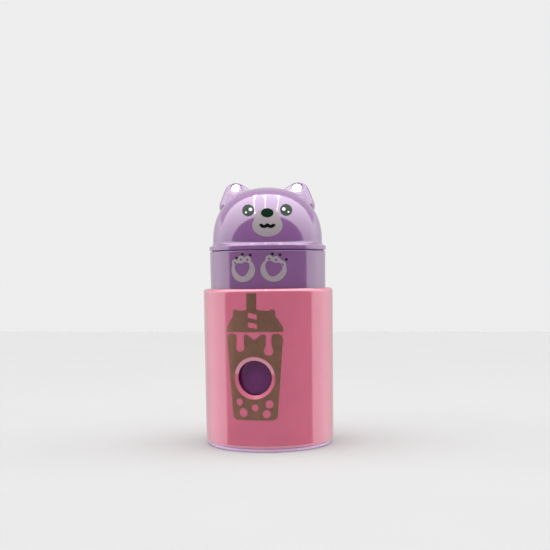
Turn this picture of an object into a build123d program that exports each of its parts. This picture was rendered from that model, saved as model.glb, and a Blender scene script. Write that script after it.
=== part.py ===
from build123d import *
import math
import os

# Press-to-open pencil sharpener with an animal-head lid.
#
# Units are millimetres. The origin is the centre of the underside, +Z is up and the pencil goes in
# along +Y, through the port in the front of the sleeve.
#
# The sleeve and the base cap stand still. The barrel, which is the shavings bin, carries the
# sharpener and slides down inside the sleeve against the return spring, until its own port meets
# the sleeve's. A bent wire swings in a heart-shaped track on the back of the barrel and holds it
# down. The head swivels on the lid plug, and both lift off together to empty the bin.

os.makedirs("parts", exist_ok=True)

# ---- driving dimensions -------------------------------------------------------------------------
# Sleeve
SLEEVE_TOP_R = 17.5
SLEEVE_FOOT_R = 17.2
SLEEVE_BORE_R = 16.0
SLEEVE_FOOT_Z = 0.85
SLEEVE_TOP_Z = 41.7
PORT_Z = 19.0
PORT_R = 4.45
PORT_BEVEL = 0.92
PORT_BEVEL_DEPTH = 0.42

# Barrel, as it stands at rest
RUNNING_GAP = 0.35
BARREL_R = SLEEVE_BORE_R - RUNNING_GAP
BARREL_DRAFT = 0.4  # how much narrower the barrel's foot is than its top
BARREL_WALL = 1.45
BARREL_TOP_Z = 51.65
TRAVEL = 10.2
ALIGNED_TRAVEL = 9.9
STOP_Z = 4.2
BARREL_PORT_R = 4.7
KEY_WIDTH = 3.0
KEY_HEIGHT = 4.0
KEY_R = SLEEVE_BORE_R + 0.35

# Head
HEAD_TURN = 13.0
FLANGE_R = BARREL_R + 0.15
FLANGE_HEIGHT = 1.05
PARTING_GAP = 0.25
DOME_R = 14.8
DOME_TOP_Z = 68.85
DOME_POWER = 2.3
DOME_WALL = 1.5
COVE_R = 1.1
EAR_THICK = 4.4
EAR_SETBACK = 1.9
EAR_LEAN = 24.0
EAR_TIP_R = 3.15
EAR_RIM_R = 1.6
EAR_ROOT_R = 2.2
EAR_DISH_R = 1.7
EAR_DISH_DEPTH = 0.34

# Base cap, spring and its seats
FOOT_R = 16.7
BASE_FLOOR_Z = 1.8
SPRING_R = 4.0
SPRING_WIRE_R = 0.35
SPRING_TURNS = 6.0
WELL_R = 5.0
WELL_WALL = 1.2

# Latch
PIN_WIRE_R = 0.5
PIN_PIVOT_Z = 3.0
PIN_LENGTH = 20.0
PIN_RATIO = 12.0  # radians of swing per metre of travel
PIN_SHANK_Y = 14.3
LEAF_THICK = 0.18
TRACK_DEPTH = 1.2
TRACK_HALF_WIDTH = 0.72
LATCHED_TRAVEL = 9.6

# Pencil cone
CONE_R = 4.1
CONE_TIP_R = 0.6
CONE_HALF_ANGLE = 11.5
LEAD_IN = 2.5
SEAT_SHARE = 0.9  # height of the blade's seat over the axis, as a share of the cone's radius
EDGE_SHARE = 0.35  # offset of the cutting edge from the axis, as a share of the cone's radius

# ---- heights and radii worked out from them -----------------------------------------------------
SEATED = 0.02  # room between two pieces that rest on each other
FITTED = 0.05  # room between two pieces that are pushed together
BARREL_FOOT_R = BARREL_R - BARREL_DRAFT
BARREL_FOOT_Z = STOP_Z + TRAVEL
BARREL_BORE_R = BARREL_R - BARREL_WALL
CONE_Z = PORT_Z + ALIGNED_TRAVEL
WELL_TOP_Z = CONE_Z - 6.9
CRADLE_TOP_Z = WELL_TOP_Z + 1.2
TRACK_Z = PIN_PIVOT_Z + PIN_LENGTH
HEAD_FOOT_Z = BARREL_TOP_Z + PARTING_GAP
DOME_FOOT_Z = HEAD_FOOT_Z + FLANGE_HEIGHT + COVE_R
OUTSIDE_R = 20.0  # clear of every wall, for a cutter that runs out through one


def peg(radius, height):
    """A round solid that stands on its foot."""
    return Cylinder(radius, height, align=(Align.CENTER, Align.CENTER, Align.MIN))


def disc(radius, low, high):
    """A round solid about Z between two heights."""
    return Pos(0, 0, low) * peg(radius, high - low)


def ring(outer, inner, low, high):
    """A tube about Z between two heights."""
    return disc(outer, low, high) - disc(inner, low - 1, high + 1)


def block(x, y, z):
    """A box given by its limits along X, Y and Z."""
    size = Box(x[1] - x[0], y[1] - y[0], z[1] - z[0], align=(Align.MIN, Align.MIN, Align.MIN))
    return Pos(x[0], y[0], z[0]) * size


def rod_y(radius, start, end, z, x=0.0):
    """A round bar along Y between two places."""
    return Pos(x, start, z) * Rot(-90, 0, 0) * peg(radius, end - start)


def spun(points):
    """A solid of revolution about Z from (radius, height) corners."""
    outline = Polyline(*[(r, 0, z) for r, z in points], close=True)
    return revolve(make_face(outline), Axis.Z, 360)


def spun_outline(curves):
    """A solid of revolution about Z from a closed chain of curves in the XZ plane."""
    return revolve(make_face(Wire(curves)), Axis.Z, 360)


def round_edges(solid, radius, size, height):
    """Fillets the circular edges about Z of one radius at one height."""
    near = 0.02
    chosen = [
        e
        for e in solid.edges().filter_by(GeomType.CIRCLE)
        if abs(e.radius - radius) < near and abs(e.center().Z - height) < near
    ]
    return fillet(chosen, size)


def around(solid, angles):
    """Copies of a solid turned about Z."""
    return [Rot(0, 0, a) * solid for a in angles]


# ---- pieces that stand still --------------------------------------------------------------------
KEY_ANGLES = (0, 180)
SNAP_ANGLES = (45, 135, 225, 315)
SNAP_LOW = 2.4
SNAP_HEIGHT = 1.0
SNAP_HALF = 2.0
SNAP_REACH = 0.25  # how far a snap stands into the sleeve's wall
SKIRT_WALL = 1.2
LATCH_BAY_HALF = 4.2


def sleeve():
    """Outer tube with the pencil port, two keyways for the barrel and pockets for the base cap."""
    body = spun(
        [
            (SLEEVE_BORE_R, SLEEVE_FOOT_Z),
            (SLEEVE_FOOT_R, SLEEVE_FOOT_Z),
            (SLEEVE_TOP_R, SLEEVE_TOP_Z),
            (SLEEVE_BORE_R, SLEEVE_TOP_Z),
        ]
    )
    body = round_edges(body, SLEEVE_TOP_R, 0.9, SLEEVE_TOP_Z)
    body = round_edges(body, SLEEVE_BORE_R, 0.4, SLEEVE_TOP_Z)
    body = round_edges(body, SLEEVE_FOOT_R, 0.8, SLEEVE_FOOT_Z)
    body -= rod_y(PORT_R, -OUTSIDE_R, 0, PORT_Z)
    # The port's outer rim lies outside the bore all the way round, at the port's height.
    rim = [
        e
        for e in body.edges()
        if e.center().Y < -SLEEVE_BORE_R - 0.2
        and abs(e.center().Z - PORT_Z) < 1.0
        and e.length < 2.2 * math.pi * PORT_R
    ]
    front = body.faces().sort_by_distance((0, -OUTSIDE_R, SLEEVE_TOP_Z / 2))[0]
    body = chamfer(rim, PORT_BEVEL, PORT_BEVEL_DEPTH, reference=front)
    inside = SLEEVE_BORE_R - 1
    key_side = KEY_WIDTH / 2 + 0.2
    key_top = BARREL_FOOT_Z + KEY_HEIGHT + FITTED
    keyway = block((inside, KEY_R + 0.3), (-key_side, key_side), (0, key_top))
    snap_side = SNAP_HALF + 0.2
    snap_x = (inside, SLEEVE_BORE_R + SNAP_REACH + FITTED)
    pocket = block(snap_x, (-snap_side, snap_side), (SNAP_LOW, SNAP_LOW + SNAP_HEIGHT))
    for cut in around(keyway, KEY_ANGLES) + around(pocket, SNAP_ANGLES):
        body -= cut
    return body


def base_cap():
    """Floor of the sleeve, with a snap skirt, the spring post, stops and the latch pin's pivot."""
    skirt_r = SLEEVE_BORE_R - FITTED
    bury = BASE_FLOOR_Z - 0.2
    foot = round_edges(disc(FOOT_R, 0, SLEEVE_FOOT_Z), FOOT_R, 0.75, 0)
    floor = disc(skirt_r - 0.15, SLEEVE_FOOT_Z - 0.2, BASE_FLOOR_Z)
    skirt = ring(skirt_r, skirt_r - SKIRT_WALL, SLEEVE_FOOT_Z - 0.2, STOP_Z - 0.3)
    skirt -= block((-LATCH_BAY_HALF, LATCH_BAY_HALF), (10, OUTSIDE_R), (BASE_FLOOR_Z, STOP_Z))
    body = foot + floor + skirt
    snap_r = SLEEVE_BORE_R + SNAP_REACH
    snap_low = SNAP_LOW + FITTED
    snap_top = SNAP_LOW + SNAP_HEIGHT - FITTED
    snap = block((skirt_r - SKIRT_WALL + 0.05, snap_r), (-SNAP_HALF, SNAP_HALF), (snap_low, snap_top))
    snap = snap & disc(snap_r, 0, STOP_Z)
    rib = block((8, 13.9), (-0.6, 0.6), (bury, STOP_Z - FITTED))
    for piece in around(snap, SNAP_ANGLES) + around(rib, (30, 150, 270)):
        body += piece
    post = disc(2.6, bury, WELL_TOP_Z - TRAVEL - 0.3)
    post = chamfer(post.edges().filter_by(GeomType.CIRCLE).sort_by(Axis.Z)[-1], 0.6)
    seat = ring(WELL_R + 0.8, WELL_R, bury, BASE_FLOOR_Z + 1.2)
    pivot = block((-3, 3), (11.0, 13.5), (bury, STOP_Z - 0.1))
    pivot -= rod_y(PIN_WIRE_R + 0.06, 10, 14, PIN_PIVOT_Z)
    return body + post + seat + pivot


def latch_leaf():
    """Strip of spring steel that keeps the latch pin's tip down in its track."""
    half = 2.4
    back = PIN_SHANK_Y + PIN_WIRE_R + 0.36
    foot = BASE_FLOOR_Z + 0.22
    strip = block((-half, half), (back - LEAF_THICK, back), (foot + LEAF_THICK, 19.0))
    hook = block((-half, half), (13.62, back), (foot, foot + LEAF_THICK))
    return strip + hook


# ---- spring and latch pin -----------------------------------------------------------------------
def return_spring():
    """Compression spring between the base cap and the ceiling of the carrier's well."""
    low = BASE_FLOOR_Z + SPRING_WIRE_R + SEATED
    high = WELL_TOP_Z - SPRING_WIRE_R - SEATED
    coil = Helix(pitch=(high - low) / SPRING_TURNS, height=high - low, radius=SPRING_R)
    section = Plane(origin=coil @ 0, z_dir=coil % 0) * Circle(SPRING_WIRE_R)
    return Pos(0, 0, low) * sweep(section, path=coil, is_frenet=True)


def latch_pin():
    """Bent wire: one leg turns in the base cap, the other rides in the track."""
    path = FilletPolyline(
        (0, 11.3, PIN_PIVOT_Z),
        (0, PIN_SHANK_Y, PIN_PIVOT_Z),
        (0, PIN_SHANK_Y, TRACK_Z),
        (0, 12.5, TRACK_Z),
        radius=0.7,
    )
    section = Plane(origin=path @ 0, z_dir=path % 0) * Circle(PIN_WIRE_R)
    return sweep(section, path=path)


# ---- pieces that slide --------------------------------------------------------------------------
PAD_HALF = 6.7
RECESS_HALF = 5.5
PAD_INNER_Y = 10.6
PAD_OUTER_Y = 11.9
RECESS_TOP_Z = 36.5
PLATE_FACE_Y = 13.5
LEDGE_Z = BARREL_FOOT_Z + 1.45


def barrel():
    """Shavings bin and visible collar: a tube with a port, keys and a recess for the latch."""
    body = spun(
        [
            (BARREL_BORE_R, BARREL_FOOT_Z),
            (BARREL_FOOT_R, BARREL_FOOT_Z),
            (BARREL_R, BARREL_TOP_Z),
            (BARREL_BORE_R, BARREL_TOP_Z),
        ]
    )
    body = round_edges(body, BARREL_R, 0.25, BARREL_TOP_Z)
    body = round_edges(body, BARREL_FOOT_R, 0.5, BARREL_FOOT_Z)
    body -= rod_y(BARREL_PORT_R, -OUTSIDE_R, 0, CONE_Z)
    key_top = BARREL_FOOT_Z + KEY_HEIGHT
    key = block((BARREL_FOOT_R - 0.5, KEY_R), (-KEY_WIDTH / 2, KEY_WIDTH / 2), (BARREL_FOOT_Z, key_top))
    for piece in around(key, KEY_ANGLES):
        body += piece
    ledge = ring(BARREL_BORE_R + 0.2, BARREL_BORE_R - 0.7, LEDGE_Z, LEDGE_Z + 1.0)
    pad = block((-PAD_HALF, PAD_HALF), (PAD_INNER_Y, BARREL_R), (BARREL_FOOT_Z, RECESS_TOP_Z + 1.2))
    pad = pad & disc(BARREL_FOOT_R - 0.02, BARREL_FOOT_Z, BARREL_TOP_Z)
    body = body + ledge + pad
    return body - block((-RECESS_HALF, RECESS_HALF), (PAD_OUTER_Y, OUTSIDE_R), (0, RECESS_TOP_Z))


def cam_plate():
    """Plate on the back of the barrel with the heart-shaped track for the latch pin."""
    swing = PIN_RATIO * TRAVEL / 1000
    side = PIN_LENGTH * math.sin(swing)
    top = TRAVEL - PIN_LENGTH * (1 - math.cos(swing))
    corners = [(0, 0), (side, top), (0, LATCHED_TRAVEL), (-side, top)]
    half = RECESS_HALF - 0.2
    foot_y = PAD_OUTER_Y + SEATED
    plate = block((-half, half), (foot_y, PLATE_FACE_Y), (TRACK_Z - 2.2, TRACK_Z + 12.4))
    # The pin at a travel of t stands t above the foot of the track, so the track climbs.
    for (x0, z0), (x1, z1) in zip(corners, corners[1:] + corners[:1]):
        run = math.hypot(x1 - x0, z1 - z0)
        tilt = math.degrees(math.atan2(z1 - z0, x1 - x0))
        slot = SlotCenterToCenter(run, 2 * TRACK_HALF_WIDTH)
        middle = Pos((x0 + x1) / 2, PLATE_FACE_Y - TRACK_DEPTH, TRACK_Z + (z0 + z1) / 2)
        # Plane.XZ looks along -Y, so the slot is laid out in X and Z and cut outwards.
        cutter = extrude(Plane.XZ * Rot(0, 0, tilt) * slot, -5)
        plate -= middle * cutter
    return plate


def insert_carrier():
    """Floor of the bin, with the spring's well and the cradle that holds the sharpener."""
    front_y = -6.5
    cheek = (BODY_HALF + 0.1, BODY_HALF + 1.4)
    back_y = (BODY_BACK_Y + 0.1, BODY_BACK_Y + 1.3)
    pad_side = PAD_HALF + 0.1
    floor = disc(BARREL_BORE_R - 0.1, BARREL_FOOT_Z, LEDGE_Z - FITTED)
    floor -= block((-pad_side, pad_side), (PAD_INNER_Y - 0.1, OUTSIDE_R), (0, CONE_Z))
    tower = disc(WELL_R + WELL_WALL, BARREL_FOOT_Z, CRADLE_TOP_Z)
    plate = block((-cheek[1], cheek[1]), (front_y, back_y[1]), (WELL_TOP_Z, CRADLE_TOP_Z))
    wall = block(cheek, (front_y, -front_y), (WELL_TOP_Z, CRADLE_TOP_Z + 4.4))
    back = block((-5, 5), back_y, (WELL_TOP_Z, CRADLE_TOP_Z + 5.8))
    body = floor + tower + plate + wall + mirror(wall, Plane.YZ) + back
    return body - disc(WELL_R, BARREL_FOOT_Z - 1, WELL_TOP_Z)


# ---- sharpener ----------------------------------------------------------------------------------
NOSE_Y = -12.2
NOSE_R = 5.3
BODY_FRONT_Y = -11.7
BODY_BACK_Y = 8.9
BODY_HALF = 7.2
CONE_FOOT_Y = NOSE_Y + LEAD_IN
CONE_TIP_Y = CONE_FOOT_Y + (CONE_R - CONE_TIP_R) / math.tan(math.radians(CONE_HALF_ANGLE))
# The blade lies on a sloping seat that just opens the top of the cone.
SEAT_FRONT_Z = CONE_Z + SEAT_SHARE * CONE_R
SEAT_BACK_Z = CONE_Z + SEAT_SHARE * CONE_TIP_R
SEAT_SLOPE = (SEAT_BACK_Z - SEAT_FRONT_Z) / (CONE_TIP_Y - CONE_FOOT_Y)
BLADE_Y = -0.4
BLADE_WIDTH = 6.0
BLADE_LENGTH = 17.4
BLADE_THICK = 0.5
BLADE_GRIND = 1.1
SCREW_R = 1.05
SCREW_LENGTH = 5.0


def seat_height(y):
    """Height of the blade's sloping seat at a place along Y."""
    return SEAT_FRONT_Z + (y - CONE_FOOT_Y) * SEAT_SLOPE


def cone_radius(y):
    """Radius of the pencil cone at a place along Y."""
    return CONE_R - (y - CONE_FOOT_Y) * math.tan(math.radians(CONE_HALF_ANGLE))


def seat_frame():
    """Frame on the seat: origin where the cutting edge passes the middle of the blade, Y along the edge."""
    skew = math.atan(EDGE_SHARE * math.tan(math.radians(CONE_HALF_ANGLE)))
    place = Pos(EDGE_SHARE * cone_radius(BLADE_Y), BLADE_Y, seat_height(BLADE_Y))
    return place * Rot(math.degrees(math.atan(SEAT_SLOPE)), 0, 0) * Rot(0, 0, math.degrees(skew))


def sharpener_insert():
    """Wedge block with the conical pencil guide."""
    low = CRADLE_TOP_Z + SEATED
    shoulder_y = CONE_FOOT_Y + 0.3
    side = Polyline(
        (0, BODY_FRONT_Y, low),
        (0, BODY_BACK_Y, low),
        (0, BODY_BACK_Y, seat_height(BODY_BACK_Y)),
        (0, shoulder_y, seat_height(shoulder_y)),
        (0, shoulder_y, CONE_Z + NOSE_R),
        (0, BODY_FRONT_Y, CONE_Z + NOSE_R),
        close=True,
    )
    body = extrude(make_face(side), BODY_HALF, both=True)
    body = fillet(body.edges().filter_by(Axis.Z).filter_by(lambda e: e.center().Y < 0), 0.6)
    body += rod_y(NOSE_R, NOSE_Y, BODY_FRONT_Y + 0.5, CONE_Z)
    body -= rod_y(CONE_R, NOSE_Y - 1, CONE_FOOT_Y, CONE_Z)
    length = CONE_TIP_Y - CONE_FOOT_Y
    cone = Cone(CONE_R, CONE_TIP_R, length, align=(Align.CENTER, Align.CENTER, Align.MIN))
    body -= Pos(0, CONE_FOOT_Y, CONE_Z) * Rot(-90, 0, 0) * cone
    body -= rod_y(CONE_TIP_R, CONE_TIP_Y - 0.1, BODY_BACK_Y + 1, CONE_Z)
    grip = rod_y(0.45, -7.0, 7.0, CONE_Z)
    for place in (-1, 1):
        for rise in (-0.6, 0.9):
            body -= Pos(place * (BODY_HALF + 0.15), 0, rise) * grip
    throat = block((-12, -0.4 * CONE_R), (-6.5, 4.0), (-0.9, 8))
    depth = SCREW_LENGTH + 0.3
    hole = Pos(BLADE_WIDTH / 2, 0, -depth + 0.1) * peg(SCREW_R + FITTED, depth)
    return body - seat_frame() * throat - seat_frame() * hole


def blade():
    """Cutting blade, ground to an edge along the slit in the cone."""
    outline = Polyline(
        (0, 0, SEATED),
        (BLADE_GRIND, 0, BLADE_THICK),
        (BLADE_WIDTH, 0, BLADE_THICK),
        (BLADE_WIDTH, 0, SEATED),
        close=True,
    )
    body = extrude(make_face(outline), BLADE_LENGTH / 2, both=True)
    outer = body.edges().filter_by(Axis.Z).filter_by(lambda e: e.center().X > BLADE_WIDTH - 0.1)
    body = fillet(outer, 0.5)
    body -= Pos(BLADE_WIDTH / 2, 0, 0) * Cylinder(SCREW_R + 0.3, 3)
    return seat_frame() * body


def blade_screw():
    """Pan-head screw that clamps the blade."""
    head_r = 2.0
    head_height = 1.1
    slot = Box(0.55, 5.0, head_height, align=(Align.CENTER, Align.CENTER, Align.MIN))
    head = fillet(peg(head_r, head_height).edges().filter_by(GeomType.CIRCLE).sort_by(Axis.Z)[-1], 0.7)
    head -= Pos(0, 0, 0.6) * slot
    shank = Pos(0, 0, -SCREW_LENGTH) * peg(SCREW_R, SCREW_LENGTH + BLADE_THICK)
    screw = Pos(0, 0, BLADE_THICK) * head + shank
    return seat_frame() * Pos(BLADE_WIDTH / 2, 0, 0) * Rot(0, 0, 35) * screw


# ---- lid ----------------------------------------------------------------------------------------
PLUG_BOSS_R = 12.4
PLUG_BOSS_WALL = 1.4
PLUG_FLANGE_R = BARREL_BORE_R + 0.9
PLUG_FLANGE_TOP_Z = BARREL_TOP_Z + 0.7
CATCH_R = PLUG_BOSS_R + 0.15
BEAD_R = PLUG_BOSS_R + 0.35
BEAD_Z = BARREL_TOP_Z + 3.2


def lid_plug():
    """Plug that closes the bin, with a beaded boss on which the head swivels."""
    top = BARREL_TOP_Z
    skirt_r = BARREL_BORE_R - 0.15
    boss_bore_r = PLUG_BOSS_R - PLUG_BOSS_WALL
    bead_top = BEAD_Z + 1.1
    return spun(
        [
            (0, top - 0.6),
            (PLUG_BOSS_R + 0.2, top - 0.6),
            (PLUG_BOSS_R + 0.2, top - 3.7),
            (PLUG_BOSS_R + 0.6, top - 4.1),
            (skirt_r - 0.3, top - 4.1),
            (skirt_r, top - 3.6),
            (skirt_r, top),
            (PLUG_FLANGE_R, top),
            (PLUG_FLANGE_R, PLUG_FLANGE_TOP_Z),
            (PLUG_BOSS_R, PLUG_FLANGE_TOP_Z),
            (PLUG_BOSS_R, BEAD_Z),
            (BEAD_R, BEAD_Z + 0.3),
            (BEAD_R - 0.25, bead_top),
            (boss_bore_r, bead_top),
            (boss_bore_r, top + 0.6),
            (0, top + 0.6),
        ]
    )


def dome_curve(radius, foot, top):
    """Half of a superelliptic arch in the XZ plane, from its foot up to the axis."""
    count = 9
    points = []
    for i in range(count):
        t = math.pi / 2 * i / count
        r = radius * math.cos(t) ** (2 / DOME_POWER)
        z = foot + (top - foot) * math.sin(t) ** (2 / DOME_POWER)
        points.append((r, 0, z))
    points.append((0, 0, top))
    return Spline(*points, tangents=[(0, 0, 1), (-1, 0, 0)])


def ear():
    """One ear, a rounded triangle that leans back, with a shallow dish in front below its tip."""
    root_z = 61.0
    tip = (10.2, 72.4)
    outer_root = (13.15, 63.4)
    corners = [(3.4, root_z), (3.4, 67.6), tip, outer_root, (12.0, root_z)]
    blank = make_face(Polyline(*[(x, 0, z) for x, z in corners], close=True))
    for (x, z), radius in ((tip, EAR_TIP_R), (outer_root, EAR_ROOT_R)):
        blank = fillet(blank.vertices().sort_by_distance((x, 0, z))[0], radius)
    body = extrude(blank, EAR_THICK / 2, both=True)
    half = EAR_THICK / 2
    rims = [e for e in body.edges() if abs(abs(e.center().Y) - half) < 0.01 and e.center().Z > root_z + 1]
    body = fillet(rims, EAR_RIM_R)
    dish = rod_y(EAR_DISH_R, -half - 1, -half + EAR_DISH_DEPTH, 68.3, 8.3)
    dish = fillet(dish.edges().filter_by(GeomType.CIRCLE).sort_by(Axis.Y)[-1], EAR_DISH_DEPTH - 0.04)
    body -= dish
    hinge_z = 66.0
    return Pos(0, EAR_SETBACK, hinge_z) * Rot(-EAR_LEAN, 0, 0) * Pos(0, 0, -hinge_z) * body


def head_shell():
    """Hollow head: flange, dome and ears, with a catch ring that hooks under the plug's bead."""
    cove_x = DOME_R + COVE_R
    cove_low = DOME_FOOT_Z - math.sqrt(COVE_R**2 - (cove_x - FLANGE_R) ** 2)
    bend = math.radians(35)
    cove_middle = (cove_x - COVE_R * math.cos(bend), 0, DOME_FOOT_Z - COVE_R * math.sin(bend))
    outside = spun_outline(
        [
            Line((0, 0, HEAD_FOOT_Z), (FLANGE_R, 0, HEAD_FOOT_Z)),
            Line((FLANGE_R, 0, HEAD_FOOT_Z), (FLANGE_R, 0, cove_low)),
            ThreePointArc((FLANGE_R, 0, cove_low), cove_middle, (DOME_R, 0, DOME_FOOT_Z)),
            dome_curve(DOME_R, DOME_FOOT_Z, DOME_TOP_Z),
            Line((0, 0, DOME_TOP_Z), (0, 0, HEAD_FOOT_Z)),
        ]
    )
    outside = round_edges(outside, FLANGE_R, 0.2, cove_low)
    right = ear()
    body = outside + right + mirror(right, Plane.YZ)
    recess_r = PLUG_FLANGE_R + 0.15
    recess_top = PLUG_FLANGE_TOP_Z + 0.15
    catch_top = BEAD_Z - 0.15
    cavity_r = DOME_R - DOME_WALL
    cavity_top = DOME_TOP_Z - DOME_WALL
    below = HEAD_FOOT_Z - 1
    inside = spun_outline(
        [
            Line((0, 0, below), (recess_r, 0, below)),
            Line((recess_r, 0, below), (recess_r, 0, recess_top)),
            Line((recess_r, 0, recess_top), (CATCH_R, 0, recess_top)),
            Line((CATCH_R, 0, recess_top), (CATCH_R, 0, catch_top)),
            Line((CATCH_R, 0, catch_top), (cavity_r, 0, catch_top)),
            dome_curve(cavity_r, catch_top, cavity_top),
            Line((0, 0, cavity_top), (0, 0, below)),
        ]
    )
    return Rot(0, 0, HEAD_TURN) * (body - inside)


# ---- write every piece --------------------------------------------------------------------------
PIECES = {
    "sleeve": sleeve,
    "base_cap": base_cap,
    "latch_leaf": latch_leaf,
    "return_spring": return_spring,
    "latch_pin": latch_pin,
    "barrel": barrel,
    "cam_plate": cam_plate,
    "insert_carrier": insert_carrier,
    "sharpener_insert": sharpener_insert,
    "blade": blade,
    "blade_screw": blade_screw,
    "lid_plug": lid_plug,
    "head_shell": head_shell,
}

for name, make in PIECES.items():
    shape = make()
    shape.label = name
    export_step(shape, f"parts/{name}.step")
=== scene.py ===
import math

import bmesh
import bpy
import numpy as np
from mathutils import Matrix, Vector
from mathutils.bvhtree import BVHTree


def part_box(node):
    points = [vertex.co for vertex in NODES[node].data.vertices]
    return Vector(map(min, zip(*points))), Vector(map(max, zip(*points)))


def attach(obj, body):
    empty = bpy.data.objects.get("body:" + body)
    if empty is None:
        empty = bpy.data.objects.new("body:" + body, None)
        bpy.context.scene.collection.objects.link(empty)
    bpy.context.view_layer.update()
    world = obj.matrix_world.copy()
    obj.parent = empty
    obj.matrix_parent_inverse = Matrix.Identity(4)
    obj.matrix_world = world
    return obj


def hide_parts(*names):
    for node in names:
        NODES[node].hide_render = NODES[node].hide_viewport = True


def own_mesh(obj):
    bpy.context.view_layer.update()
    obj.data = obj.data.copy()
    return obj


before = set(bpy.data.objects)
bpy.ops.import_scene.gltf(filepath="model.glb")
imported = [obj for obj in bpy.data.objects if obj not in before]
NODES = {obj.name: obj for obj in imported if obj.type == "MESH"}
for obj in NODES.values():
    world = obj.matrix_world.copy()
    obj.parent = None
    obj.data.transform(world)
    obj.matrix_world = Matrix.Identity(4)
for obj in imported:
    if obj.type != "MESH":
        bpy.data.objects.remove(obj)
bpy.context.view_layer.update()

MM = 0.001


def heights(node):
    """A CAD node's lowest and highest point at rest, in millimetres."""
    low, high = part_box(node)
    return round(low[2] / MM, 3), round(high[2] / MM, 3)


# ---- places on the object, in millimetres -------------------------------------------------------
SLEEVE_FOOT_Z, SLEEVE_TOP_Z = heights("sleeve")
SLEEVE_FOOT_R, SLEEVE_TOP_R = 17.2, 17.5
BARREL_FOOT_Z, BARREL_TOP_Z = heights("barrel")
BARREL_R = 15.65
BARREL_DRAFT = 0.4
PORT_Z = 19.0
PORT_CLEAR_R = 5.45
HEAD_TURN = math.radians(13.0)
PRINT_SINK = -0.03
PRINT_RISE = 0.03
SHARP_EDGE = math.radians(40)


# ---- colours and node helpers -------------------------------------------------------------------
def srgb(r, g, b):
    """Linear RGBA from 0-255 display values."""
    def channel(c):
        c /= 255
        return c / 12.92 if c <= 0.04045 else ((c + 0.055) / 1.055) ** 2.4
    return (channel(r), channel(g), channel(b), 1.0)


def shade(colour, factor):
    """A colour made lighter or darker."""
    return tuple(min(1.0, c * factor) for c in colour[:3]) + (1.0,)


class Material:
    """A Principled material with the few node chains that the finishes below share."""

    def __init__(self, name, **sockets):
        self.data = bpy.data.materials.new(name)
        self.data.use_nodes = True
        self.tree = self.data.node_tree
        self.bsdf = self.tree.nodes["Principled BSDF"]
        self.place = self.tree.nodes.new("ShaderNodeTexCoord")
        for socket, value in sockets.items():
            self.bsdf.inputs[socket.replace("_", " ")].default_value = value

    def node(self, kind, links, **values):
        """A new node: links go from {input: output socket}, and constants by input name."""
        made = self.tree.nodes.new(kind)
        for key, value in values.items():
            made.inputs[key.replace("_", " ")].default_value = value
        for key, output in links.items():
            self.tree.links.new(output, made.inputs[key])
        return made

    def noise(self, size_mm, detail=3.0, roughness=0.55, stretch=(1, 1, 1)):
        """Noise whose features are about size_mm across, stretched along an axis if asked."""
        place = {"Vector": self.place.outputs["Object"]}
        place = {"Vector": self.node("ShaderNodeMapping", place, Scale=stretch).outputs["Vector"]}
        scale = 1 / (size_mm * MM)
        made = self.node("ShaderNodeTexNoise", place, Scale=scale, Detail=detail, Roughness=roughness)
        return made.outputs["Fac"]

    def height(self):
        """Height over the base, in metres, while the piece stands at rest."""
        made = self.node("ShaderNodeSeparateXYZ", {"Vector": self.place.outputs["Object"]})
        return made.outputs["Z"]

    def remap(self, value, low, high, start=0.3, end=0.7):
        """A value mapped onto a range; start and end suit what noise gives."""
        limits = {"From_Min": start, "From_Max": end, "To_Min": low, "To_Max": high}
        return self.node("ShaderNodeMapRange", {"Value": value}, **limits).outputs["Result"]

    def blend(self, factor, first, second):
        """A colour between two, by a 0-1 value; each is a constant or an output socket."""
        made = self.tree.nodes.new("ShaderNodeMix")
        made.data_type = "RGBA"
        self.tree.links.new(factor, made.inputs["Factor"])
        for key, colour in (("A", first), ("B", second)):
            socket = [s for s in made.inputs if s.name == key and s.type == "RGBA"][0]
            if hasattr(colour, "is_output"):
                self.tree.links.new(colour, socket)
            else:
                socket.default_value = colour
        return [s for s in made.outputs if s.type == "RGBA"][0]

    def mottle(self, value, colour, dark, light):
        """A colour that drifts along a noise value, between two shades of itself."""
        return self.blend(self.remap(value, 0, 1), shade(colour, dark), shade(colour, light))

    def link(self, output, socket):
        """Joins an output to one of the shader's inputs."""
        self.tree.links.new(output, self.bsdf.inputs[socket])

    def bump(self, *layers):
        """Stacks bumps: each layer is (height, strength, depth in mm)."""
        normal = None
        for height, strength, depth in layers:
            made = self.node("ShaderNodeBump", {"Height": height}, Strength=strength, Distance=depth * MM)
            if normal:
                self.tree.links.new(normal, made.inputs["Normal"])
            normal = made.outputs["Normal"]
        self.link(normal, "Normal")


# ---- finishes -----------------------------------------------------------------------------------
def moulded(name, colour, rough=0.16, glow=0.06, shadow=None):
    """Glossy injection-moulded plastic: faint pigment drift, orange peel and handling marks.

    shadow gives two heights in millimetres between which the colour turns to a painted shade,
    darker towards the bottom, for a tube whose lower part sits in shade inside the sleeve.
    """
    made = Material(
        name,
        Subsurface_Weight=glow,
        Subsurface_Radius=(0.0022, 0.0012, 0.0014),
        Subsurface_Scale=1.0,
        Coat_Weight=1.0,
        Coat_IOR=1.9,
        Coat_Roughness=0.05,
    )
    drift = made.noise(size_mm=9.0, detail=2.0)
    tone = made.mottle(drift, colour, 0.965, 1.035)
    if shadow:
        # Painted shade: below these heights the colour darkens, standing in for the shade inside the
        # sleeve.
        painted_shade_mask = made.remap(made.height(), 0, 1, shadow[0] * MM, shadow[1] * MM)
        tone = made.blend(painted_shade_mask, tone, PAINTED_SHADE_PURPLE)
    made.link(tone, "Base Color")
    marks = made.noise(size_mm=0.5, detail=4.0, roughness=0.7, stretch=(1, 1, 0.12))
    made.link(made.remap(marks, rough * 0.8, rough * 1.35), "Roughness")
    orange_peel = made.noise(size_mm=1.6, detail=2.0)
    grain = made.noise(size_mm=0.12, detail=2.0)
    made.bump((orange_peel, 0.10, 0.01), (grain, 0.06, 0.003))
    return made.data


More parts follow.
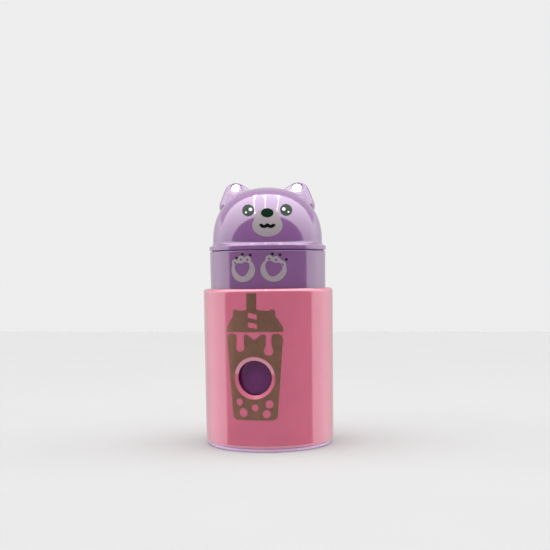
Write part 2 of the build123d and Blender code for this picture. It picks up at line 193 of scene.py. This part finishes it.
def satin(name, colour, rough=0.42):
    """Plain moulded plastic for the inner pieces, with a fine spark-eroded grain."""
    made = Material(
        name,
        Subsurface_Weight=0.1,
        Subsurface_Radius=(0.0015, 0.0012, 0.001),
        Subsurface_Scale=1.0,
    )
    drift = made.noise(size_mm=6.0)
    made.link(made.mottle(drift, colour, 0.94, 1.03), "Base Color")
    grain = made.noise(size_mm=0.09)
    made.link(made.remap(grain, rough * 0.85, rough * 1.2), "Roughness")
    made.bump((grain, 0.25, 0.006), (drift, 0.1, 0.02))
    return made.data


def steel(name, colour, rough, stretch=(1, 1, 1)):
    """Metal with a fine grain, drawn or ground along one axis where stretch says so."""
    made = Material(name, Metallic=1.0)
    grain = made.noise(size_mm=0.12, detail=4.0, roughness=0.65, stretch=stretch)
    stain = made.noise(size_mm=2.5)
    made.link(made.mottle(stain, colour, 0.88, 1.05), "Base Color")
    made.link(made.remap(grain, rough * 0.7, rough * 1.4), "Roughness")
    made.bump((grain, 0.3, 0.004))
    return made.data


def foil(name, colour):
    """Hot-stamped metal foil: speckled, slightly worn, and duller than bare metal."""
    made = Material(name, Metallic=0.8)
    speckle = made.noise(size_mm=0.22, detail=5.0, roughness=0.75)
    cloud = made.noise(size_mm=3.2)
    tone = made.mottle(cloud, colour, 0.86, 1.12)
    tone = made.blend(made.remap(speckle, 0, 0.35), tone, shade(colour, 1.35))
    made.link(tone, "Base Color")
    made.link(made.remap(speckle, 0.30, 0.46), "Roughness")
    made.bump((speckle, 0.35, 0.006), (cloud, 0.15, 0.02))
    return made.data


def ink(name, colour, rough, coat, gloss=0.5):
    """Pad-printed ink, with a slightly uneven film."""
    made = Material(name, Coat_Weight=coat, Coat_Roughness=0.1, Specular_IOR_Level=gloss)
    film = made.noise(size_mm=0.35, detail=4.0, roughness=0.6)
    made.link(made.mottle(film, colour, 0.93, 1.05), "Base Color")
    made.link(made.remap(film, rough * 0.8, rough * 1.25), "Roughness")
    made.bump((film, 0.2, 0.006))
    return made.data


# A darker purple painted on the barrel below the sleeve's top, as painted shade.
PAINTED_SHADE_PURPLE = srgb(106, 42, 106)
PINK = moulded("sleeve_pink", srgb(214, 108, 136))
# shadow: the heights over which the barrel's colour turns to the painted shade.
PURPLE = moulded("barrel_purple", srgb(132, 87, 140), shadow=(SLEEVE_TOP_Z - 1.5, SLEEVE_TOP_Z - 6.0))
HEAD_PURPLE = moulded("head_purple", srgb(138, 91, 148))
BASE_PURPLE = moulded("base_purple", srgb(248, 184, 250))
PLUG_PURPLE = satin("plug_purple", srgb(150, 104, 170))
WHITE = satin("carrier_white", srgb(226, 224, 220))
BLOCK = satin("insert_white", srgb(232, 229, 222), rough=0.36)
ACETAL = satin("cam_acetal", srgb(236, 234, 226), rough=0.32)
BLADE = steel("blade_steel", (0.62, 0.63, 0.65, 1), rough=0.24, stretch=(1, 0.06, 1))
SCREW = steel("screw_steel", (0.70, 0.70, 0.72, 1), rough=0.22)
WIRE = steel("spring_steel", (0.55, 0.55, 0.58, 1), rough=0.28, stretch=(1, 1, 0.2))
FOIL = foil("bronze_foil", srgb(158, 117, 100))
WHITE_INK = ink("white_ink", srgb(160, 148, 155), rough=0.45, coat=0.1)
BLACK_INK = ink("black_ink", srgb(8, 16, 10), rough=0.4, coat=0.0, gloss=0.05)
NOSE_INK = ink("nose_ink", srgb(6, 36, 20), rough=0.4, coat=0.0, gloss=0.04)
GLINT_INK = ink("glint_ink", srgb(232, 236, 232), rough=0.3, coat=0.5)
EYE_INK = ink("eye_ink", srgb(10, 44, 26), rough=0.12, coat=0.05, gloss=0.3)

FINISHES = {
    "sleeve": PINK,
    "base_cap": BASE_PURPLE,
    "latch_leaf": WIRE,
    "return_spring": WIRE,
    "latch_pin": WIRE,
    "barrel": PURPLE,
    "cam_plate": ACETAL,
    "insert_carrier": WHITE,
    "sharpener_insert": BLOCK,
    "blade": BLADE,
    "blade_screw": SCREW,
    "lid_plug": PLUG_PURPLE,
    "head_shell": HEAD_PURPLE,
}
for node_name, finish in FINISHES.items():
    node = NODES[node_name]
    node.data.materials.clear()
    node.data.materials.append(finish)


# ---- outlines -----------------------------------------------------------------------------------
CORNER_STEPS = 8
# The most of a side that the arc at its corner may take up.
SIDE_SHARE = 0.49


def arc(centre, radius, start, end, count=16, flat=1.0):
    """Points of an arc, in degrees; flat scales it upwards."""
    angles = np.radians(np.linspace(start, end, count))
    return [(centre[0] + radius * math.cos(a), centre[1] + radius * flat * math.sin(a)) for a in angles]


def oval(centre, radius, flat=1.0, count=40):
    """A closed circle or ellipse."""
    return arc(centre, radius, 0, 360 * (1 - 1 / count), count, flat)


def turned(points, angle, move):
    """An outline turned by degrees about the origin, then moved."""
    a = math.radians(angle)
    c, s = math.cos(a), math.sin(a)
    return [(c * u - s * v + move[0], s * u + c * v + move[1]) for u, v in points]


def rounded(corners):
    """A closed outline from (u, v) points and (u, v, radius) corners, which become arcs."""
    points = []
    for i, corner in enumerate(corners):
        if len(corner) == 2:
            points.append(corner)
            continue
        here = Vector(corner[:2])
        before = Vector(corners[i - 1][:2]) - here
        after = Vector(corners[(i + 1) % len(corners)][:2]) - here
        half = before.angle(after) / 2
        reach = min(corner[2] / math.tan(half), SIDE_SHARE * before.length, SIDE_SHARE * after.length)
        radius = reach * math.tan(half)
        inward = (before.normalized() + after.normalized()).normalized()
        centre = here + inward * (radius / math.sin(half))
        first = here + before.normalized() * reach - centre
        last = here + after.normalized() * reach - centre
        turn = math.degrees(first.angle_signed(last))
        for k in range(CORNER_STEPS + 1):
            points += turned([first], -turn * k / CORNER_STEPS, centre)
    return points


def union_outline(circles, count=120):
    """Outline of overlapping ovals (u, v, radius, flat) as seen from the origin, smoothed a little."""
    reach = []
    for i in range(count):
        a = 2 * math.pi * i / count
        du, dv = math.cos(a), math.sin(a)
        best = 0
        for u, v, radius, flat in circles:
            # Where a ray from the origin leaves the oval: squared * t**2 + linear * t + rest = 0.
            squared = du * du + (dv / flat) ** 2
            linear = -2 * (du * u + dv * v / flat**2)
            rest = u * u + (v / flat) ** 2 - radius * radius
            under_root = linear * linear - 4 * squared * rest
            if under_root >= 0:
                best = max(best, (-linear + math.sqrt(under_root)) / (2 * squared))
        reach.append(best)
    smooth = [(reach[i - 1] + 2 * reach[i] + reach[(i + 1) % count]) / 4 for i in range(count)]
    return [
        (r * math.cos(2 * math.pi * i / count), r * math.sin(2 * math.pi * i / count))
        for i, r in enumerate(smooth)
    ]


# ---- prints, in millimetres ---------------------------------------------------------------------
# Cell widths of the prints' meshes, and the height of a print that lies on another.
CUP_CELLS, WIDE_CELLS, FINE_CELLS = 0.5, 0.4, 0.3
SECOND_LAYER = 2 * PRINT_RISE
PAW_Z = 46.6
PAW_SIZE = (6.8, 6.2)
PAD_CENTRE = (-0.1, 0.1)
TOE_R, TOE_HOLE_R, CLAW_R = 0.98, 0.33, 0.36
LEFT_TOES = ((-2.2, 1.85), (-0.4, 2.7), (1.4, 2.6))
LEFT_CLAWS = ((-1.7, 3.1), (0.0, 4.0), (2.2, 3.8))
RIGHT_TOES = ((-1.1, 2.75), (0.65, 2.45), (2.35, 1.2))
RIGHT_CLAWS = ((-0.3, 4.0), (1.7, 3.75), (3.35, 2.55))
MUZZLE_Z, NOSE_Z, SMILE_Z, EYE_Z = 58.75, 61.25, 58.65, 62.05
SMILE_CURVE_U, SMILE_RADII = 0.85, (0.55, 1.36)
EYE_U, EYE_R = 4.92, 1.58
# The two highlights in an eye: how far towards the nose, how far up, and the radius.
GLINT, SPARK = (0.62, 0.2, 0.46), (-0.58, -0.55, 0.26)
# How far in front of the sharpener's axis the rays start that look for the face.
RAY_START = 40
# Corners of a print's mesh that are closer than this are one.
SAME_POINT = 1e-4


def flat_shape(loops, pitch):
    """A flat filled mesh from closed outlines, holes included, cut into cells no wider than pitch."""
    curve = bpy.data.curves.new("outline", "CURVE")
    curve.dimensions = "2D"
    curve.fill_mode = "BOTH"
    for loop in loops:
        spline = curve.splines.new("POLY")
        spline.points.add(len(loop) - 1)
        for point, (u, v) in zip(spline.points, loop):
            point.co = (u, v, 0, 1)
        spline.use_cyclic_u = True
    holder = bpy.data.objects.new("outline", curve)
    bpy.context.scene.collection.objects.link(holder)
    bpy.context.view_layer.update()
    mesh = bpy.data.meshes.new_from_object(holder)
    bpy.data.objects.remove(holder)
    shape = bmesh.new()
    shape.from_mesh(mesh)
    bpy.data.meshes.remove(mesh)
    bmesh.ops.remove_doubles(shape, verts=shape.verts, dist=SAME_POINT)
    for axis in (0, 1):
        low = min(v.co[axis] for v in shape.verts)
        high = max(v.co[axis] for v in shape.verts)
        normal = [0, 0, 0]
        normal[axis] = 1
        for k in range(1, int((high - low) / pitch) + 1):
            place = [0, 0, 0]
            place[axis] = low + k * pitch
            everything = shape.verts[:] + shape.edges[:] + shape.faces[:]
            bmesh.ops.bisect_plane(shape, geom=everything, plane_co=place, plane_no=normal)
    return shape


def printed(name, loops, place, material, body, pitch, rise=PRINT_RISE):
    """A thin printed shape laid on a surface: place(u, v, height) gives the point, in millimetres."""
    shape = flat_shape(loops, pitch)
    for face in shape.faces:
        if face.normal.z < 0:
            face.normal_flip()
    top = bmesh.ops.extrude_face_region(shape, geom=shape.faces[:])["geom"]
    raised = {v for v in top if isinstance(v, bmesh.types.BMVert)}
    for vert in shape.verts:
        height = rise if vert in raised else PRINT_SINK
        vert.co = Vector(place(vert.co.x, vert.co.y, height)) * MM
    bmesh.ops.recalc_face_normals(shape, faces=shape.faces)
    mesh = bpy.data.meshes.new(name)
    shape.to_mesh(mesh)
    shape.free()
    mesh.materials.append(material)
    mesh.shade_smooth()
    mesh.set_sharp_from_angle(angle=SHARP_EDGE)
    piece = bpy.data.objects.new(name, mesh)
    bpy.context.scene.collection.objects.link(piece)
    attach(piece, body)


def on_sleeve(u, v, height):
    """A point on the sleeve: u along the arc from the port's centre line, v the height."""
    slope = (SLEEVE_TOP_R - SLEEVE_FOOT_R) / (SLEEVE_TOP_Z - SLEEVE_FOOT_Z)
    r = SLEEVE_FOOT_R + slope * (v - SLEEVE_FOOT_Z) + height
    a = u / ((SLEEVE_TOP_R + SLEEVE_FOOT_R) / 2)
    return (r * math.sin(a), -r * math.cos(a), v)


def on_collar(u, v, height):
    """A point on the barrel's collar, measured the same way."""
    r = BARREL_R - BARREL_DRAFT * (BARREL_TOP_Z - v) / (BARREL_TOP_Z - BARREL_FOOT_Z) + height
    a = u / BARREL_R
    return (r * math.sin(a), -r * math.cos(a), v)


def head_surface():
    """The head's mesh in millimetres, turned so that its face looks along -Y, for ray casts."""
    mesh = NODES["head_shell"].data
    straight = Matrix.Rotation(-HEAD_TURN, 3, "Z")
    points = [straight @ v.co / MM for v in mesh.vertices]
    return BVHTree.FromPolygons(points, [tuple(p.vertices) for p in mesh.polygons])


HEAD_SURFACE = head_surface()


def on_face(u, v, height):
    """A point on the front of the dome, under (u, v) seen straight from the front."""
    point, normal, _, _ = HEAD_SURFACE.ray_cast(Vector((u, -RAY_START, v)), Vector((0, 1, 0)))
    if normal.y > 0:
        normal.negate()
    return Matrix.Rotation(HEAD_TURN, 3, "Z") @ (point + normal * height)


def drip(centre, neck, bulb, top, bottom):
    """A drip that hangs into the cup from its top edge, from its right side round to its left."""
    middle = bottom + bulb
    right = [(centre + neck, top, 0.9), (centre + neck, middle + 1.5)]
    round_end = arc((centre, middle), bulb, 25, -205, 20)
    left = [(centre - neck, middle + 1.5), (centre - neck, top, 0.9)]
    return right + round_end + left


def cup_print():
    """A generic cup of bubble tea in metal foil round the port: straw, lid, drips and pearls."""
    lid = [(-7.8, 30.75, 0.4), (7.8, 30.75, 0.4), (7.55, 32.0, 1.5), (5.55, 35.0, 0.4), (5.6, 35.6)]
    lid += arc((4.85, 35.7), 0.8, 5, 140, 10)
    straw = [(0.85, 36.4, 0.1), (0.85, 40.6, 0.15), (-1.75, 40.6, 0.15), (-1.75, 36.4, 0.1)]
    lid += [(3.6, 36.1, 0.6)] + straw + [(-3.6, 36.1, 0.6)] + arc((-4.85, 35.7), 0.8, 40, 175, 10)
    lid += [(-5.6, 35.6), (-5.55, 35.0, 0.4), (-7.55, 32.0, 1.5)]
    bars = [
        [(-1.45, top, 0.1), (0.95, top - 0.55, 0.1), (0.95, top - 1.85, 0.1), (-1.45, top - 1.35, 0.1)]
        for top in (35.75, 33.35)
    ]
    loops = [rounded(lid)] + [rounded(bar) for bar in bars]
    printed("cup_lid_print", loops, on_sleeve, FOIL, "root", CUP_CELLS)
    body = [(-5.9, 8.3, 1.4), (5.9, 8.3, 1.4), (7.65, 30.2, 1.3)]
    body += drip(centre=3.85, neck=0.73, bulb=1.2, top=30.2, bottom=24.7)
    body += [(2.1, 30.1, 0.8), (0.2, 28.7, 0.5), (-1.75, 30.1, 0.8)]
    body += drip(centre=-3.63, neck=1.06, bulb=1.22, top=30.2, bottom=25.7)
    body += [(-7.65, 30.45, 1.3)]
    pearls = ((-4.05, 12.85, 0.92), (-3.0, 10.2, 1.15), (0.2, 11.5, 0.9))
    pearls += ((3.9, 12.4, 1.05), (3.15, 9.9, 1.08))
    holes = [oval((u, v), radius) for u, v, radius in pearls]
    holes.append(oval((0, PORT_Z), PORT_CLEAR_R, count=72))
    printed("cup_body_print", [rounded(body)] + holes, on_sleeve, FOIL, "root", CUP_CELLS)


def heart(width, height, notch, soft, count=48):
    """A closed heart, centred on its own box; soft (0-1) rounds it towards an oval, most at its foot."""
    points = []
    for i in range(count):
        a = 2 * math.pi * i / count
        u = math.sin(a) ** 3
        v = (13 * math.cos(a) - notch * math.cos(2 * a) - 2 * math.cos(3 * a) - math.cos(4 * a)) / 16
        rounding = soft + (1 - soft) * (1 - math.cos(a)) ** 2 / 8
        points.append((u + rounding * (math.sin(a) - u), v + rounding * (math.cos(a) - v)))
    low = min(v for _, v in points)
    high = max(v for _, v in points)
    middle = (low + high) / 2
    return [(u * width / 2, (v - middle) * height / (high - low)) for u, v in points]


def paw_print(side, angle, pad_size, pad_tilt, toes, claws):
    """One paw on the collar: a white ring round a heart, three toes with holes, and black claws.

    angle and pad_tilt are in degrees, from the port round the collar and from upright.
    """
    centre = (math.radians(angle) * BARREL_R, PAW_Z)
    wide, tall = PAW_SIZE
    blob = [(0, 0, wide / 2, tall / wide)] + [(u, v, TOE_R, 1.0) for u, v in toes]
    pad = turned(heart(*pad_size, notch=9.0, soft=0.58), pad_tilt, PAD_CENTRE)
    loops = [union_outline(blob), pad] + [oval(toe, TOE_HOLE_R, count=20) for toe in toes]
    loops = [[(u + centre[0], v + centre[1]) for u, v in loop] for loop in loops]
    printed(f"paw_{side}_print", loops, on_collar, WHITE_INK, "carriage", WIDE_CELLS)
    for k, (u, v) in enumerate(claws):
        claw = oval((centre[0] + u, centre[1] + v), CLAW_R, count=18)
        printed(f"claw_{side}_{k + 1}_print", [claw], on_collar, BLACK_INK, "carriage", FINE_CELLS)


def face_print():
    """A plain bear's face: muzzle, nose, smile and two eyes with highlights."""
    muzzle = union_outline([(0, -0.75, 3.9, 0.75), (0, 0.85, 3.45, 0.83)])
    muzzle = [(u, v + MUZZLE_Z) for u, v in muzzle]
    printed("muzzle_print", [muzzle], on_face, WHITE_INK, "head", WIDE_CELLS)
    nose = oval((0, NOSE_Z), radius=1.62, flat=0.74)
    printed("nose_print", [nose], on_face, NOSE_INK, "head", FINE_CELLS, SECOND_LAYER)
    left, right = (-SMILE_CURVE_U, SMILE_Z), (SMILE_CURVE_U, SMILE_Z)
    inner, outer = SMILE_RADII
    meet = math.degrees(math.acos(SMILE_CURVE_U / outer))
    start, end, count = 200, 340, 12
    upper = arc(left, inner, start, end, count) + arc(right, inner, start, end, count)
    lower = arc(right, outer, end, 180 + meet, count) + arc(left, outer, 360 - meet, start, count)[1:]
    printed("smile_print", [upper + lower], on_face, BLACK_INK, "head", FINE_CELLS, SECOND_LAYER)
    for side, name in ((-1, "left"), (1, "right")):
        u, v = side * EYE_U, EYE_Z
        printed(f"eye_{name}_print", [oval((u, v), EYE_R)], on_face, EYE_INK, "head", FINE_CELLS)
        for light, (inward, up, radius), count in (("glint", GLINT, 20), ("spark", SPARK, 16)):
            spot = oval((u - side * inward, v + up), radius, count=count)
            name_of_light = f"eye_{name}_{light}_print"
            printed(name_of_light, [spot], on_face, GLINT_INK, "head", FINE_CELLS, SECOND_LAYER)


cup_print()
paw_print("left", -11.7, (4.35, 3.6), 8, LEFT_TOES, LEFT_CLAWS)
paw_print("right", 18.4, (4.5, 3.85), -14, RIGHT_TOES, RIGHT_CLAWS)
face_print()


# ---- the return spring --------------------------------------------------------------------------
def coil_spring():
    """The return spring as a copy of its coil, attached to the root, with the packed piece hidden."""
    packed = NODES["return_spring"]
    coil = bpy.data.objects.new("return_spring_coil", packed.data.copy())
    bpy.context.scene.collection.objects.link(coil)
    coil.matrix_world = packed.matrix_world.copy()
    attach(coil, "root")
    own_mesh(coil)
    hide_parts("return_spring")


coil_spring()

# ---- stage, light and camera --------------------------------------------------------------------
VIEW_AZIMUTH = math.radians(13.0)
VIEW_DISTANCE = 0.265
EYE_HEIGHT = 0.0452
LENS = 63.84
SENSOR = 36.0
AIM_RIGHT = 0.0019
ROLL = math.radians(0.74)
FORWARD = Vector((-math.sin(VIEW_AZIMUTH), math.cos(VIEW_AZIMUTH), 0))
RIGHT = Vector((math.cos(VIEW_AZIMUTH), math.sin(VIEW_AZIMUTH), 0))
UP = Vector((0, 0, 1))
FLOOR_HALF_SIDE = 0.5
FLOOR_TONES = (0.432, 0.442)
STUDIO_LIGHT = (1.13, 3.0)
BACK_LIGHT = 0.6
CAMERA_SIDE_LIGHT = 0.12
BACKDROP_LIGHT = 0.85
# Where each side of the studio starts and ends, as the cosine of its direction.
LOW_BACK_EDGE = (-0.45, -0.85)
UPPER_BACK_EDGE, UPPER_BACK_RISE = (-0.42, -0.46), (0.22, 0.32)
CAMERA_SIDE_EDGE, CAMERA_SIDE_RISE, CAMERA_SIDE_LEAN = (0.11, 0.16), (-0.34, -0.24), 0.8
CEILING_HEIGHT = 0.215
LEFT_BAR = ((-0.079, 0.117), (-0.036, -0.063))
MIDDLE_BAR = ((-0.010, 0.107), (-0.006, -0.041))
RIGHT_BAR = ((0.063, 0.129), (0.036, -0.055))
BAR_WIDTH, BAR_WATTS = 0.003, 0.012
LAMP_SIZE, LAMP_WATTS = (0.009, 0.009), 0.004
EAR_LAMPS = ((-0.0153, 0.107), (0.0131, 0.108))
EAR_LAMP_SIZE, EAR_LAMP_WATTS = (0.0048, 0.0034), 0.0008
LAMP_DROP = 0.001
OBJECT_MIDDLE = 0.035


def basis(right, up, back, place):
    """A transform from three axes and a place."""
    matrix = Matrix((right, up, back)).transposed().to_4x4()
    matrix.translation = place
    return matrix


def make_camera():
    """The camera, level with the top of the sleeve and rolled a little."""
    data = bpy.data.cameras.new("camera")
    data.lens = LENS
    data.sensor_width = SENSOR
    data.clip_start = 0.01
    data.dof.use_dof = False
    camera = bpy.data.objects.new("camera", data)
    bpy.context.scene.collection.objects.link(camera)
    place = -FORWARD * VIEW_DISTANCE + UP * EYE_HEIGHT
    back = (place - (RIGHT * AIM_RIGHT + UP * EYE_HEIGHT)).normalized()
    right = UP.cross(back)
    rolled_right = right * math.cos(ROLL) - UP * math.sin(ROLL)
    rolled_up = UP * math.cos(ROLL) + right * math.sin(ROLL)
    camera.matrix_world = basis(rolled_right, rolled_up, back, place)
    bpy.context.scene.camera = camera


def panel(name, place, size, watts):
    """A rectangular soft light that faces the middle of the object."""
    data = bpy.data.lights.new(name, "AREA")
    data.shape = "RECTANGLE"
    data.size, data.size_y = size
    data.energy = watts
    lamp = bpy.data.objects.new(name, data)
    bpy.context.scene.collection.objects.link(lamp)
    back = (place - UP * OBJECT_MIDDLE).normalized()
    side = UP.cross(back).normalized()
    lamp.matrix_world = basis(side, back.cross(side), back, place)
    lamp.visible_camera = False
    return lamp


def make_stage():
    """A plain pale floor."""
    shape = bmesh.new()
    bmesh.ops.create_grid(shape, x_segments=8, y_segments=8, size=FLOOR_HALF_SIDE)
    mesh = bpy.data.meshes.new("floor")
    shape.to_mesh(mesh)
    shape.free()
    floor = bpy.data.objects.new("floor", mesh)
    bpy.context.scene.collection.objects.link(floor)
    made = Material("floor_paper", Roughness=0.9)
    drift = made.noise(size_mm=40.0, detail=2.0)
    dark, light = [(tone, tone, tone, 1) for tone in FLOOR_TONES]
    made.link(made.blend(made.remap(drift, 0, 1), dark, light), "Base Color")
    mesh.materials.append(made.data)
    floor.visible_glossy = False


def make_studio():
    """A white studio that brightens upwards, with a dim side behind the camera and a dim upper back."""
    world = bpy.data.worlds.new("world")
    world.use_nodes = True
    tree = world.node_tree

    def new(kind, **values):
        """A new node with its own settings."""
        made = tree.nodes.new(kind)
        for key, value in values.items():
            setattr(made, key, value)
        return made

    place = new("ShaderNodeTexCoord")

    def share(axis):
        """How far a direction points along an axis."""
        made = new("ShaderNodeVectorMath", operation="DOT_PRODUCT")
        made.inputs[1].default_value = axis
        tree.links.new(place.outputs["Generated"], made.inputs[0])
        return made.outputs["Value"]

    def ramp(value, start, end, low=0.0, high=1.0):
        """A value mapped onto a range; low and high may be outputs too."""
        made = new("ShaderNodeMapRange")
        tree.links.new(value, made.inputs["Value"])
        for key, level in (("From Min", start), ("From Max", end), ("To Min", low), ("To Max", high)):
            if hasattr(level, "is_output"):
                tree.links.new(level, made.inputs[key])
            else:
                made.inputs[key].default_value = level
        return made.outputs["Result"]

    def combine(operation, first, second):
        """One value out of two, by an arithmetic operation."""
        made = new("ShaderNodeMath", operation=operation)
        tree.links.new(first, made.inputs[0])
        tree.links.new(second, made.inputs[1])
        return made.outputs["Value"]

    up = share(UP)
    towards_camera = share(-FORWARD)
    walls = ramp(up, 0.0, 1.0, *STUDIO_LIGHT)
    low_back = ramp(towards_camera, *LOW_BACK_EDGE)
    upper_back = combine("MULTIPLY", ramp(towards_camera, *UPPER_BACK_EDGE), ramp(up, *UPPER_BACK_RISE))
    back = combine("MAXIMUM", low_back, upper_back)
    leaning = combine("SUBTRACT", towards_camera, ramp(up, 0.0, 1.0, 0.0, CAMERA_SIDE_LEAN))
    above_floor = ramp(up, *CAMERA_SIDE_RISE)
    behind_camera = combine("MULTIPLY", ramp(leaning, *CAMERA_SIDE_EDGE), above_floor)
    level = ramp(back, 0.0, 1.0, walls, BACK_LIGHT)
    level = ramp(behind_camera, 0.0, 1.0, level, CAMERA_SIDE_LIGHT)
    path = new("ShaderNodeLightPath")
    level = ramp(path.outputs["Is Camera Ray"], 0.0, 1.0, level, BACKDROP_LIGHT)
    background = tree.nodes["Background"]
    background.inputs["Color"].default_value = (1, 1, 1, 1)
    tree.links.new(level, background.inputs["Strength"])
    bpy.context.scene.world = world


def overhead(spot):
    """A place at the ceiling, from its distances to the right of and in front of the object."""
    return RIGHT * spot[0] - FORWARD * spot[1] + UP * CEILING_HEIGHT


def make_bars():
    """Three narrow light bars in a fan overhead, lamps at five of their ends, and two for the ears."""
    for k, (near, far) in enumerate((LEFT_BAR, MIDDLE_BAR, RIGHT_BAR)):
        middle = (overhead(near) + overhead(far)) / 2
        along = overhead(far) - overhead(near)
        bar = panel(f"bar_{k + 1}", middle, (BAR_WIDTH, along.length), BAR_WATTS)
        bar.matrix_world = basis(along.cross(UP).normalized(), along.normalized(), UP, middle)
    lamps = [(spot, LAMP_SIZE, LAMP_WATTS) for spot in LEFT_BAR + MIDDLE_BAR[1:] + RIGHT_BAR]
    lamps += [(spot, EAR_LAMP_SIZE, EAR_LAMP_WATTS) for spot in EAR_LAMPS]
    for k, (spot, size, watts) in enumerate(lamps):
        panel(f"lamp_{k + 1}", overhead(spot) - UP * LAMP_DROP, size, watts)


make_camera()
make_stage()
make_studio()
make_bars()
bpy.context.scene.view_settings.view_transform = "Standard"
